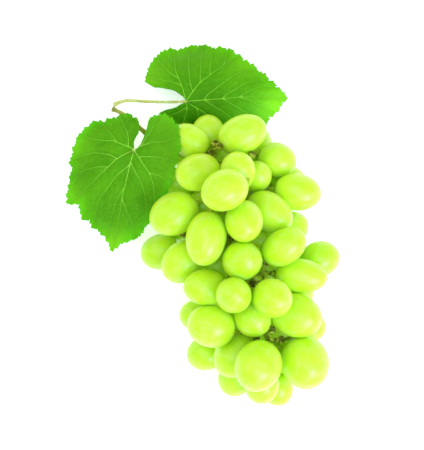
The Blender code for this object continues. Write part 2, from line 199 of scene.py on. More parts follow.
def areaLight(name, place, size, power, colour):
    data = bpy.data.lights.new(name, "AREA")
    data.shape = "DISK"
    data.size = size
    data.energy = power
    data.color = colour
    lamp = bpy.data.objects.new(name, data)
    lamp.location = place
    lamp.rotation_euler = (-Vector(place)).to_track_quat("-Z", "Y").to_euler()
    bpy.context.scene.collection.objects.link(lamp)


def floorShade(tree):
    # painted shade: the card glows less and takes a darker colour right under the bunch
    start, end = (Vector((*spot, 0)) for spot in studio["shadeLine"])
    run = end - start
    away = addNode(tree, "VectorMath", {0: objectPlace(tree), 1: start}, operation="SUBTRACT").outputs[0]
    along = addNode(tree, "VectorMath", {0: away, 1: run / run.length_squared}, operation="DOT_PRODUCT")
    share = sums(tree, "ADD", along.outputs["Value"], 0.0, clamp=True)
    foot = addNode(tree, "VectorMath", {0: run, "Scale": share}, operation="SCALE").outputs[0]
    off = addNode(tree, "VectorMath", {0: away, 1: foot}, operation="DISTANCE").outputs["Value"]
    return between(tree, off, *studio["shadeReach"], 1.0, 0.0)


def setStudio():
    data = bpy.data.cameras.new("camera")
    data.lens = studio["lens"]
    data.sensor_width = 36
    data.clip_start = 0.05
    data.clip_end = 100
    camera = bpy.data.objects.new("camera", data)
    camera.location = (*studio["cameraAside"], studio["cameraHeight"])
    bpy.context.scene.collection.objects.link(camera)
    bpy.context.scene.camera = camera

    bm = bmesh.new()
    bmesh.ops.create_grid(bm, x_segments=1, y_segments=1, size=studio["floorSize"] / 2)
    mesh = bpy.data.meshes.new("floor")
    bm.to_mesh(mesh)
    bm.free()
    floor = bpy.data.objects.new("floor", mesh)
    bpy.context.scene.collection.objects.link(floor)
    card = bpy.data.materials.new("whiteCard")
    card.use_nodes = True
    shader = card.node_tree.nodes["Principled BSDF"]
    shader.inputs["Roughness"].default_value = 0.9
    shader.inputs["Specular IOR Level"].default_value = 0.1
    shader.inputs["Emission Strength"].default_value = studio["floorGlow"]
    tree = card.node_tree
    shade = floorShade(tree)
    glow = blendColours(tree, shade, studio["glowColour"], studio["shadeGlow"])
    tree.links.new(glow, shader.inputs["Emission Color"])
    paint = blendColours(tree, shade, studio["floorColour"], studio["shadeColour"])
    tree.links.new(paint, shader.inputs["Base Color"])
    mesh.materials.append(card)

    world = bpy.data.worlds.new("softbox")
    bpy.context.scene.world = world
    world.use_nodes = True
    sky = world.node_tree.nodes["Background"]
    seen = addNode(world.node_tree, "LightPath").outputs["Is Camera Ray"]
    # the camera sees a white backdrop, the bunch gets the softer sky
    lit = tuple(studio["skyStrength"] * part for part in studio["skyColour"])
    sight = blendColours(world.node_tree, seen, lit, studio["backdrop"])
    world.node_tree.links.new(sight, sky.inputs["Color"])
    for lamp in ("key", "fill", "top"):
        values = [studio[lamp + part] for part in ("Place", "Size", "Power", "Colour")]
        areaLight(lamp + "Light", *values)
    bpy.context.scene.view_settings.view_transform = "Standard"


setStudio()
print("camera, floor and light are set")


def mergedCopy(node):
    # the CAD node's loose triangles as one closed skin, in a mesh of its own
    bm = bmesh.new()
    bm.from_mesh(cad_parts[node].data)
    bmesh.ops.remove_doubles(bm, verts=bm.verts, dist=1e-6)
    return bm


def setAttribute(mesh, name, values):
    values = np.asarray(values, np.float32)
    kind, key = ("FLOAT", "value") if values.ndim == 1 else ("FLOAT_VECTOR", "vector")
    made = mesh.attributes.new(name, kind, "POINT")
    made.data.foreach_set(key, values.ravel())


def setLayer(bm, name, values):
    layer = bm.verts.layers.float_vector.new(name)
    for v, value in zip(bm.verts, values):
        v[layer] = value


def addPiece(name, bm, material, replaced):
    mesh = bpy.data.meshes.new(name)
    bm.to_mesh(mesh)
    bm.free()
    mesh.materials.append(material)
    mesh.shade_smooth()
    piece = bpy.data.objects.new(name, mesh)
    bpy.context.scene.collection.objects.link(piece)
    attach(piece, "root")
    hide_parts(replaced)
    return piece


def applied(bm, kind, **settings):
    # the shape that one modifier makes of this one
    mesh = bpy.data.meshes.new("draft")
    bm.to_mesh(mesh)
    bm.free()
    draft = bpy.data.objects.new("draft", mesh)
    bpy.context.scene.collection.objects.link(draft)
    modifier = draft.modifiers.new("shape", kind)
    for key, value in settings.items():
        setattr(modifier, key, value)
    graph = bpy.context.evaluated_depsgraph_get()
    made = bmesh.new()
    made.from_mesh(bpy.data.meshes.new_from_object(draft.evaluated_get(graph)))
    bpy.data.objects.remove(draft)
    return made


def moveTo(bm, places):
    for v, place in zip(bm.verts, places):
        v.co = place


def noiseAt(places, size, seed):
    # smooth noise of -1 to 1 with features of this size, in the places' own unit
    shift = Vector((seed * 3.17, seed * -1.31, seed * 0.73))
    return np.array([noise.noise(Vector(p) / size + shift) for p in places])


def sweepTube(bm, route, radii, sides):
    # a closed tube: one disc, extruded from point to point
    before = set(bm.faces)
    bmesh.ops.create_circle(bm, cap_ends=True, segments=sides, radius=1)
    face = next(f for f in bm.faces if f not in before)
    side = None
    for i, (point, radius) in enumerate(zip(route, radii)):
        ahead = (route[min(i + 1, len(route) - 1)] - route[max(i - 1, 0)]).normalized()
        if side is None:
            side = ahead.orthogonal().normalized()
        side = (side - ahead * side.dot(ahead)).normalized()
        up = ahead.cross(side)
        if i:
            grown = bmesh.ops.extrude_face_region(bm, geom=[face])["geom"]
            face = next(g for g in grown if isinstance(g, bmesh.types.BMFace))
        for k, loop in enumerate(face.loops):
            turn = 2 * math.pi * k / sides
            loop.vert.co = point + (side * math.cos(turn) + up * math.sin(turn)) * radius
    bmesh.ops.recalc_face_normals(bm, faces=[f for f in bm.faces if f not in before])


# lengths in mm
berryLook = {
    "around": 64,
    "along": 46,
    "finerEnds": 0.13,
    "swell": 0.30,  # less where a neighbour is close
    "gap": 0.03,  # between two swollen berries
    "egg": 0.025,
    "lumps": 0.16,
    "lumpSize": 7.0,
    "dimple": 0.55,
    "dimpleWidth": 2.3,
    "stemWidth": 3.0,  # no swelling this close to the stem
    "scarHeight": 0.16,
    "scarWidth": 0.55,
    "floorGap": 0.02,
    "green": (0.50, 0.80, 0.003),
    "yellow": (0.63, 0.90, 0.020),
    "pale": (0.76, 0.94, 0.18),
    "stemEnd": (0.42, 0.66, 0.02),
    "pore": (0.76, 0.95, 0.26),
    "spot": (0.22, 0.16, 0.02),
    "bloom": (0.78, 0.95, 0.40),
    "halo": (0.70, 0.90, 0.20),
    "scar": (0.30, 0.20, 0.03),
    "scatter": (0.0058, 0.0078, 0.0013),  # metres that red, green and blue light travel inside
}


def fitEgg(places):
    # centre, axis and half sizes of the egg shape through these places, by least squares
    middle = places.mean(0)
    x, y, z = (places - middle).T
    table = np.c_[x * x, y * y, z * z, 2 * x * y, 2 * x * z, 2 * y * z, 2 * x, 2 * y, 2 * z]
    a, b, c, d, e, f, g, h, k = np.linalg.lstsq(table, np.ones(len(x)), rcond=None)[0]
    form = np.array([[a, d, e], [d, b, f], [e, f, c]])
    centre = -np.linalg.solve(form, np.array([g, h, k]))
    form /= 1 + centre @ form @ centre
    sizes, axes = np.linalg.eigh(form)
    halves = 1 / np.sqrt(sizes)
    return {
        "centre": middle + centre,
        "axis": axes[:, 0],
        "long": halves[0],
        "wide": (halves[1] + halves[2]) / 2,
        "form": form,
    }


def readBerries():
    # each berry's egg shape, with its axis pointing away from the stalk
    bm = mergedCopy("stalk")
    tree = KDTree(len(bm.verts))
    for v in bm.verts:
        tree.insert(v.co / mm, v.index)
    tree.balance()
    found = []
    for name in berryNames:
        copy = mergedCopy(name)
        places = np.array([v.co for v in copy.verts]) / mm
        copy.free()
        berry = fitEgg(places[places[:, 2] > 0.01])  # without a resting berry's flat foot
        ends = [berry["centre"] + berry["axis"] * berry["long"] * way for way in (1, -1)]
        near = [tree.find(Vector(end))[2] for end in ends]
        if near[0] < near[1]:
            berry["axis"] = -berry["axis"]
        berry["stemEnd"] = berry["centre"] - berry["axis"] * berry["long"]
        berry["name"] = name
        berry["tone"] = random.random()
        found.append(berry)
    bm.free()
    return found


def reachOf(berry, places):
    # distance of each place from the berry's skin, in mm, and the way out
    away = places - berry["centre"]
    scale = np.sqrt(np.einsum("ij,jk,ik->i", away, berry["form"], away))
    slope = (away @ berry["form"]) / scale[:, None]
    steep = np.linalg.norm(slope, axis=1)
    return (scale - 1) / steep, slope / steep[:, None]


def shapeBerry(berry, unit, neighbours):
    look = berryLook
    spin = Vector(berry["axis"]).to_track_quat("Z", "Y").to_matrix()
    spin = np.array(spin @ Matrix.Rotation(berry["tone"] * 6.28, 3, "Z"))  # any side up
    x, y, z = unit.T
    ring = np.sqrt(np.maximum(1 - z * z, 0))
    wide = berry["wide"] * (1 - look["egg"] * z * ring)
    length = z * berry["long"]
    across = ring * berry["wide"]
    length = length + look["dimple"] * np.exp(-(across / look["dimpleWidth"]) ** 2) * (z < 0)
    length = length + look["scarHeight"] * np.exp(-(across / look["scarWidth"]) ** 2) * (z > 0)
    local = np.c_[x * wide, y * wide, length]
    places = berry["centre"] + local @ spin.T
    outward = np.c_[x / berry["wide"], y / berry["wide"], z / berry["long"]]
    outward = (outward / np.linalg.norm(outward, axis=1)[:, None]) @ spin.T
    room = np.full(len(places), look["swell"])
    for other in neighbours:
        gap = reachOf(other, places)[0]
        room = np.minimum(room, (gap - look["gap"]) / 2)
    atStem = np.exp(-(across / look["stemWidth"]) ** 2) * (z < 0)
    lumps = noiseAt(places, look["lumpSize"], berry["tone"] * 9) * look["lumps"]
    room = np.minimum(room, room + lumps) * (1 - atStem)
    places = places + outward * room[:, None]
    places[:, 2] = np.maximum(places[:, 2], look["floorGap"])
    return places


def berrySkin():
    look = berryLook
    material, tree, shader = newMaterial("berrySkin")
    place = objectPlace(tree)
    tone = attribute(tree, "tone")
    skin = attribute(tree, "skin", "Vector")
    along = addNode(tree, "SeparateXYZ", {0: skin}).outputs[2]
    mottles = useGroup(tree, mottling, {"Place": place, "Patch": 95.0, "Grain": 750.0})
    ripe = sums(tree, "MULTIPLY_ADD", mottles["Patches"], 0.45, sums(tree, "MULTIPLY", tone, 0.55))
    colour = blendColours(tree, ripe, look["green"], look["yellow"])
    # faint veins run from the stem to the tip under the skin
    around = attribute(tree, "around", "Vector")
    stretched = addNode(tree, "Mapping", {"Vector": around, "Scale": (1, 1, 0.16)}).outputs[0]
    veins = cloud(tree, stretched, 7.5, 3.0, 0.6)
    veins = sums(tree, "ABSOLUTE", sums(tree, "SUBTRACT", veins, 0.5))
    veins = between(tree, veins, 0.0, 0.05, 1.0, 0.0)
    colour = blendColours(tree, sums(tree, "MULTIPLY", veins, 0.22), colour, look["pale"])
    # small pale pores, and a few brown ones
    pores = useGroup(tree, specks, {"Place": place, "Spacing": 620.0, "Size": 0.24, "Share": 0.7})["Dots"]
    colour = blendColours(tree, sums(tree, "MULTIPLY", pores, 0.30), colour, look["pore"])
    spots = useGroup(tree, specks, {"Place": place, "Spacing": 130.0, "Size": 0.07, "Share": 0.26})["Dots"]
    colour = blendColours(tree, sums(tree, "MULTIPLY", spots, 0.65), colour, look["spot"])
    # a fine pale bloom, rubbed off here and there
    bloom = between(tree, cloud(tree, place, 210.0, 5.0, 0.62), 0.46, 0.66)
    colour = blendColours(tree, sums(tree, "MULTIPLY", bloom, 0.16), colour, look["bloom"])
    # the stem end is duller, the other end carries a small brown scar
    ends = between(tree, along, -0.995, -0.80, 0.7, 0.0)
    colour = blendColours(tree, ends, colour, look["stemEnd"])
    ring = addNode(tree, "VectorMath", {0: skin, 1: (1, 1, 0)}, operation="MULTIPLY").outputs[0]
    fromAxis = addNode(tree, "VectorMath", {0: ring}, operation="LENGTH").outputs["Value"]
    ragged = sums(tree, "MULTIPLY_ADD", cloud(tree, place, 1500.0), 0.05, fromAxis)
    tip = sums(tree, "GREATER_THAN", along, 0.0)
    scar = sums(tree, "MULTIPLY", between(tree, ragged, 0.050, 0.080, 1.0, 0.0), tip)
    halo = sums(tree, "MULTIPLY", between(tree, fromAxis, 0.08, 0.24, 0.5, 0.0), tip)
    colour = blendColours(tree, halo, colour, look["halo"])
    colour = blendColours(tree, sums(tree, "MULTIPLY", scar, 0.62), colour, look["scar"])
    tree.links.new(colour, shader.inputs["Base Color"])
    rough = sums(tree, "MULTIPLY_ADD", bloom, 0.12, 0.42)
    rough = sums(tree, "MULTIPLY_ADD", scar, 0.35, rough)
    tree.links.new(rough, shader.inputs["Roughness"])
    height = sums(tree, "MULTIPLY_ADD", mottles["Grains"], 0.35, sums(tree, "MULTIPLY", pores, -0.5))
    bump = addNode(tree, "Bump", {"Height": height, "Strength": 0.10, "Distance": 0.0002})
    tree.links.new(bump.outputs[0], shader.inputs["Normal"])
    shader.inputs["Subsurface Weight"].default_value = 0.9
    shader.inputs["Subsurface Radius"].default_value = look["scatter"]
    shader.inputs["Subsurface Scale"].default_value = 1.0
    shader.inputs["IOR"].default_value = 1.42
    shader.inputs["Specular IOR Level"].default_value = 0.45
    shader.inputs["Coat Weight"].default_value = 0.50
    shader.inputs["Coat Roughness"].default_value = 0.27
    return material


def buildBerries():
    look = berryLook
    bm = bmesh.new()
    bmesh.ops.create_uvsphere(bm, u_segments=look["around"], v_segments=look["along"], radius=1)
    unit = np.array([v.co for v in bm.verts])
    latitude = np.arcsin(np.clip(unit[:, 2], -1, 1))
    closer = latitude + look["finerEnds"] * np.sin(2 * latitude)  # finer rings towards both ends
    flat = np.linalg.norm(unit[:, :2], axis=1)
    turned = unit[:, :2] / np.maximum(flat, 1e-9)[:, None]
    unit = np.c_[turned * np.cos(closer)[:, None], np.sin(closer)]
    finish = berrySkin()
    for berry in berries:
        # only a berry less than 2 mm away can stop the swelling
        near = [
            other for other in berries
            if other is not berry
            and np.linalg.norm(other["centre"] - berry["centre"]) < berry["long"] + other["long"] + 2
        ]
        places = shapeBerry(berry, unit, near)
        copy = bm.copy()
        moveTo(copy, places * mm)
        bmesh.ops.recalc_face_normals(copy, faces=copy.faces)
        piece = addPiece(berry["name"] + "_skin", copy, finish, berry["name"])
        setAttribute(piece.data, "skin", unit)
        setAttribute(piece.data, "around", np.c_[turned, unit[:, 2]])
        setAttribute(piece.data, "tone", np.full(len(unit), berry["tone"]))
    bm.free()


berries = readBerries()
buildBerries()
print(len(berries), "berries are shaped")


# lengths in mm
stalkLook = {
    "voxel": 0.34,
    "bark": 0.10,
    "padWidth": 1.75,
    "padHeight": 1.1,
    "capArea": 6.09,  # mm2, the cut end of a bare stem
    "fibres": 9,
    "fibreRadii": (0.42, 0.16),
    "fibreLength": (0.9, 2.1),
    "knobWidth": 1.75,
    "knobHeight": 0.8,
    "warts": 7,
    "wartRadius": (0.34, 0.6),
    "stubSwell": 0.45,
    "stubReach": 11,
    "berryGap": 0.42,
    "floorGap": 0.02,
    "cutEnd": (2, 2.5),  # from the left and the back of the stalk
    "green": (0.50, 0.70, 0.030),
    "woody": (0.34, 0.39, 0.020),
    # colour of withered, stained and cut bark, and of the painted shade on its undersides
    "darkAndShade": (0.050, 0.056, 0.001),
    "straw": (0.62, 0.60, 0.17),
    "wart": (0.56, 0.62, 0.16),
    "shade": (0.12, 0.13, 0.006),
}


def bareEnds():
    # flat five-sided ends of the stalk that carry no berry
    bm = mergedCopy("stalk")
    bmesh.ops.dissolve_limit(bm, angle_limit=0.02, verts=bm.verts, edges=bm.edges)
    found = []
    for face in bm.faces:
        size = face.calc_area() / mm**2
        middle = face.calc_center_median() / mm
        if len(face.verts) != 5 or abs(size - stalkLook["capArea"]) > 0.06:
            continue
        if min((middle - Vector(b["stemEnd"])).length for b in berries) < 1.2:
            continue
        found.append((middle, face.normal.copy()))
    bm.free()
    return found


def stalkBark():
    look = stalkLook
    material, tree, shader = newMaterial("stalkBark")
    place = objectPlace(tree)
    woody, darkAndShade, straw = parts(tree, "bark")
    mottles = useGroup(tree, mottling, {"Place": place, "Patch": 260.0, "Grain": 1500.0})
    age = sums(tree, "MULTIPLY_ADD", mottles["Patches"], 0.45, woody, clamp=True)
    colour = blendColours(tree, age, look["green"], look["woody"])
    colour = blendColours(tree, straw, colour, look["straw"])
    warts = useGroup(tree, specks, {"Place": place, "Spacing": 1100.0, "Size": 0.42, "Share": 0.45})["Dots"]
    colour = blendColours(tree, sums(tree, "MULTIPLY", warts, 0.5), colour, look["wart"])
    shade = sums(tree, "MULTIPLY", mottles["Grains"], 0.35)
    colour = blendColours(tree, shade, colour, look["shade"])
    # darkens withered, stained and cut bark, and paints shade on the undersides near the cut end
    withered = sums(tree, "MULTIPLY_ADD", mottles["Grains"], 0.3, darkAndShade, clamp=True)
    withered = sums(tree, "MULTIPLY", withered, darkAndShade)
    colour = blendColours(tree, withered, colour, look["darkAndShade"])
    tree.links.new(colour, shader.inputs["Base Color"])
    rough = sums(tree, "MULTIPLY_ADD", mottles["Grains"], 0.2, 0.55)
    tree.links.new(rough, shader.inputs["Roughness"])
    height = sums(tree, "MULTIPLY_ADD", warts, 0.6, mottles["Grains"])
    bump = addNode(tree, "Bump", {"Height": height, "Strength": 0.45, "Distance": 0.0003})
    tree.links.new(bump.outputs[0], shader.inputs["Normal"])
    shader.inputs["Specular IOR Level"].default_value = 0.08
    return material


def standing(place, way):
    # stands a shape at this place in mm, with its z axis along the way
    return Matrix.Translation(place * mm) @ way.to_track_quat("Z", "Y").to_matrix().to_4x4()


def roundPad(bm, place, way, width, height):
    size = Matrix.Diagonal((width, width, height, 1))
    matrix = standing(place, way) @ size @ Matrix.Scale(mm, 4)
    bmesh.ops.create_uvsphere(bm, u_segments=14, v_segments=9, radius=1, matrix=matrix)


def tornKnob(bm, place, way):
    # a warty knob with torn fibres, where a berry has come off
    look = stalkLook
    roundPad(bm, place, way, look["knobWidth"], look["knobHeight"])
    turn = way.to_track_quat("Z", "Y").to_matrix()
    for k in range(look["warts"]):
        angle = 2 * math.pi * (k + random.uniform(-0.25, 0.25)) / look["warts"]
        rim = Vector((math.cos(angle), math.sin(angle), 0)) * (look["knobWidth"] - 0.2)
        rim.z = random.uniform(-0.5, 0.4)
        matrix = Matrix.Translation((place + turn @ rim) * mm)
        radius = random.uniform(*look["wartRadius"]) * mm
        bmesh.ops.create_icosphere(bm, subdivisions=1, radius=radius, matrix=matrix)
    thick, thin = look["fibreRadii"]
    for _ in range(look["fibres"]):
        lean = Vector([random.uniform(-1, 1) for _ in range(3)]) * 0.55
        along = (way + lean).normalized()
        length = random.uniform(*look["fibreLength"])
        spread = lean.normalized() * random.uniform(0, 0.8)
        matrix = standing(place + spread + along * (length * 0.4), along)
        bmesh.ops.create_cone(
            bm, cap_ends=True, segments=7, radius1=thick * mm, radius2=thin * mm,
            depth=length * mm, matrix=matrix,
        )


def nearness(places, spots, reach):
    # 1 on a spot, and 0 farther than the reach from all of them
    tree = KDTree(len(spots))
    for i, spot in enumerate(spots):
        tree.insert(Vector(spot), i)
    tree.balance()
    far = np.array([tree.find(Vector(p))[2] for p in places])
    return np.clip(1 - far / reach, 0, 1)


def barkTones(places, normals, ends, stub, fromCut):
    # how woody, how dark and how straw-coloured the bark is at each place; the darkness holds withered ends,
    # stains, the cut end and painted shade on the undersides near the cut
    toBerry = nearness(places, [berry["stemEnd"] for berry in berries], 9)
    toBare = nearness(places, [place + way * 0.6 for place, way in ends], 4)
    toCut = np.clip(1 - fromCut / 18, 0, 1)
    atCut = np.clip(1 - fromCut / 2.5, 0, 1)
    # painted shade: faces turned down, and faces turned towards -y, are darker within 18 mm of the cut end
    paintedUnderShade = np.clip(0.2 - normals[:, 2] - normals[:, 1] * 0.6, 0, 1)
    woody = np.clip(0.55 - toBerry * 1.1, 0, 1)
    frayed = noiseAt(places, 0.8, 9)
    withered = np.clip(toBare * 2.6 - 1.1 + frayed * 0.8, 0, 1) * (toBare > 0)
    stained = np.clip(noiseAt(places, 1.5, 13) * 3.2 + 0.1, 0, 0.85) * np.clip(stub * 2.5, 0, 1)
    darkAndShade = np.maximum(withered, stained) + atCut * 0.7 + paintedUnderShade * (toCut > 0) * 0.5
    flecks = np.clip(toBare * 2 - 0.6, 0, 1) * np.clip(-frayed * 4 - 0.4, 0, 0.9)
    straw = np.maximum(np.clip(np.sqrt(toCut), 0, 0.85), flecks)
    return np.c_[woody, np.clip(darkAndShade, 0, 1), straw]


def buildStalk():
    look = stalkLook
    ends = bareEnds()
    bm = mergedCopy("stalk")
    for berry in berries:
        # a small round pad joins the stem to its berry
        way = Vector(berry["axis"])
        middle = Vector(berry["stemEnd"]) - way * (look["padHeight"] * 0.25)
        roundPad(bm, middle, way, look["padWidth"], look["padHeight"] * 0.75)
    for place, way in ends:
        tornKnob(bm, place, way)
    bm = applied(bm, "REMESH", mode="VOXEL", voxel_size=look["voxel"] * mm)
    for _ in range(2):
        bmesh.ops.smooth_vert(
            bm, verts=bm.verts, factor=0.5, use_axis_x=True, use_axis_y=True, use_axis_z=True,
        )
    bm.normal_update()
    places = np.array([v.co for v in bm.verts]) / mm
    normals = np.array([v.normal for v in bm.verts])
    low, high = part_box("stalk")
    cutEnd = np.array([low.x / mm + look["cutEnd"][0], high.y / mm - look["cutEnd"][1]])
    fromCut = np.linalg.norm(places[:, :2] - cutEnd, axis=1)
    # ridged bark, thinner towards the cut end
    rise = noiseAt(places, 1.1, 3) * look["bark"] + noiseAt(places, 3.5, 5) * look["bark"] * 0.8
    rise -= 0.65 * np.clip(1.5 - fromCut / 20, 0, 1)
    # bare stubs are stout, where the berries beside them leave the room
    stub = nearness(places, [place for place, way in ends], look["stubReach"])
    rise += look["stubSwell"] * np.sqrt(stub)
    room = np.min([reachOf(berry, places)[0] for berry in berries], axis=0) - look["berryGap"]
    rise = np.where(rise > 0, np.minimum(rise, np.maximum(room, 0)), rise)
    places = places + normals * rise[:, None]
    places[:, 2] = np.maximum(places[:, 2], look["floorGap"])
    moveTo(bm, places * mm)
    piece = addPiece("stalk_bark", bm, stalkBark(), "stalk")
    setAttribute(piece.data, "bark", barkTones(places, normals, ends, stub, fromCut))
    print("stalk has", len(piece.data.polygons), "faces and", len(ends), "bare ends")


buildStalk()
print("stalk is grown")


# lengths in mm
leafLook = {
    "thickness": 0.34,
    "step": 0.36,  # along the edge
    "rings": 78,
    "groove": 0.14,
    "dome": 0.20,
    "wave": 0.5,
    "berryGap": 0.52,
    "forkWidths": (0.15, 0.05),
    "forkSpacing": (1.9, 2.7),
    "forkAngle": (48, 62),
    "stem": ((0.74, 0.76, 0.28), (0.58, 0.66, 0.15)),
    "blush": (0.50, 0.30, 0.12),
    "knot": (0.68, 0.96, 0.17),
    "speck": (0.20, 0.22, 0.03),
}
noVein = (14, 9)  # half widths and mm from the nearest vein, too far for it to show

# points are mm from the leaf's base; the notch sides are (radius, angle)
leftLeaf = {
    "node": "left_leaf",
    "fromLow": (32.9, 49.51, 19.6),
    "notchStart": [(0, 86), (3.4, 92), (6, 82), (8.2, 75), (11.2, 76), (14.1, 80), (16.4, 86), (22, 88)],
    "notchEnd": [
        (0, 392), (2.7, 394), (6, 408), (10.1, 417), (12.6, 419), (15.8, 423), (18.5, 423), (26, 421),
    ],
    "edge": [
        (1.2, 16.4), (0.0, 15.4), (-1.5, 17.9), (-4.2, 17.9), (-7.6, 17.3), (-8.6, 15.5), (-11.0, 15.9),
        (-14.2, 14.9), (-15.0, 14.0), (-18.0, 14.6), (-21.4, 14.1), (-22.6, 12.3), (-25.4, 10.8),
        (-26.2, 9.1), (-28.2, 7.8), (-29.4, 5.6), (-28.8, 3.9), (-31.6, 1.2), (-30.7, -0.3),
        (-33.2, -6.5), (-30.9, -7.7), (-33.3, -13.7), (-32.0, -14.4), (-33.9, -18.1), (-33.1, -19.1),
        (-34.9, -22.4), (-33.9, -23.2), (-34.2, -26.7), (-28.1, -26.5), (-27.9, -29.2), (-26.6, -34.9),
        (-23.0, -34.3), (-21.5, -39.1), (-19.2, -38.7), (-16.6, -42.6), (-15.3, -42.4), (-14.1, -45.9),
        (-13.3, -46.4), (-12.2, -50.4), (-7.7, -47.4), (-7.3, -46.6), (-2.2, -45.2), (-1.9, -44.4),
        (1.6, -43.8), (1.9, -42.8), (4.9, -39.5), (5.0, -38.4), (8.0, -35.6), (8.2, -34.3),
        (11.2, -31.3), (11.4, -29.8), (14.2, -26.4), (14.2, -24.6), (16.8, -20.8), (16.6, -18.8),
        (18.6, -15.6), (18.3, -14.0), (20.4, -9.8), (19.9, -8.4), (21.9, -5.1), (21.3, -3.6),
        (23.3, 1.0), (22.4, 2.9), (22.9, 6.1), (21.8, 7.6), (22.2, 12.0), (19.8, 13.0),
        (19.2, 15.6), (17.3, 15.8), (16.0, 17.6), (13.9, 17.0), (11.0, 16.9), (9.0, 15.7), (8.2, 16.4),
    ],
    "veins": [
        ((0.50, 0.12), [(0, 0), (-2, -7.3), (-4, -15.6), (-6, -23.3), (-8, -34.3), (-12, -50)]),
        ((0.30, 0.08), [(-6, -24.0), (-3.5, -31.3), (-1, -37), (0, -44)]),
        ((0.46, 0.10), [
            (0, 0), (-4.4, -2), (-8.5, -4.3), (-13, -8.3), (-19, -13.8), (-24, -18.5), (-33, -26),
        ]),
        ((0.32, 0.08), [(-8.5, -4.3), (-12, -2.4), (-15, -1.8), (-21, -1.3), (-31, -4)]),
        ((0.28, 0.07), [(-13, -8.3), (-18.5, -8.3), (-25, -9.8), (-32, -13)]),
        ((0.42, 0.10), [
            (0, 0), (-2.8, 1.7), (-8.5, 3.8), (-10.5, 4.6), (-14.5, 4.8), (-21, 5.8), (-27, 8.5),
        ]),
        ((0.34, 0.08), [(-2.8, 1.7), (-2.9, 7), (-4.2, 10.8), (-6.1, 14.6), (-7, 17)]),
        ((0.26, 0.07), [(-8.5, 3.8), (-11, 7.5), (-14, 10.5), (-16, 13.5)]),
        ((0.34, 0.08), [(-2, -7.0), (-6, -10.4), (-9, -13), (-15, -20.8), (-18.5, -26), (-21, -36)]),
        ((0.26, 0.07), [(-4.6, -18), (-8, -23), (-11, -31), (-14, -43)]),
        ((0.44, 0.10), [(0, 0), (3.5, -5.3), (7.5, -11.5), (9.5, -17.3), (10, -24), (9.5, -33)]),
        ((0.30, 0.08), [(-1.6, -6.2), (0.5, -10.5), (3, -14.8), (5, -20.8), (6, -29), (5, -38)]),
        ((0.36, 0.09), [(0, 0), (3, 1.6), (6.5, 2.9), (10, 3.8), (14, 3.9), (21, 6)]),
        ((0.30, 0.08), [(3, 1.6), (6.3, 6), (9, 10.5), (11.8, 16)]),
        ((0.28, 0.08), [(2.4, -3.4), (8, -3.4), (14, -4.0), (21.5, -6)]),
        ((0.26, 0.07), [(7.5, -11.5), (12, -12.6), (18, -16)]),
    ],
    "smallTooth": (2.5, 1.0),
    # place, reach and strength of the patches of painted light, and of painted shade where the strength is
    # below 0
    "glow": [
        ((-12, -49), 8, 1.0), ((-33, -24), 8, 0.5), ((-30, 2), 8, 0.4), ((17, 14), 9, 0.3),
        ((19, -6), 9, 0.35),
    ],
    # rim and lit are colours of painted light, shade is the colour of painted shade
    "finish": {
        "deep": (0.060, 0.24, 0.002), "mid": (0.100, 0.34, 0.003), "rim": (0.090, 0.46, 0.002),
        "lit": (0.26, 0.66, 0.012), "shade": (0.04, 0.20, 0.002), "net": (0.17, 0.43, 0.015),
        "vein": (0.35, 0.72, 0.065), "rimFrom": 0.78,
    },
    "route": [(-35.0, 36.9, 36.7), (-36.5, 41.6, 33), (-38.5, 47.1, 30.5), (-38.8, 51.0, 29.6)],
}
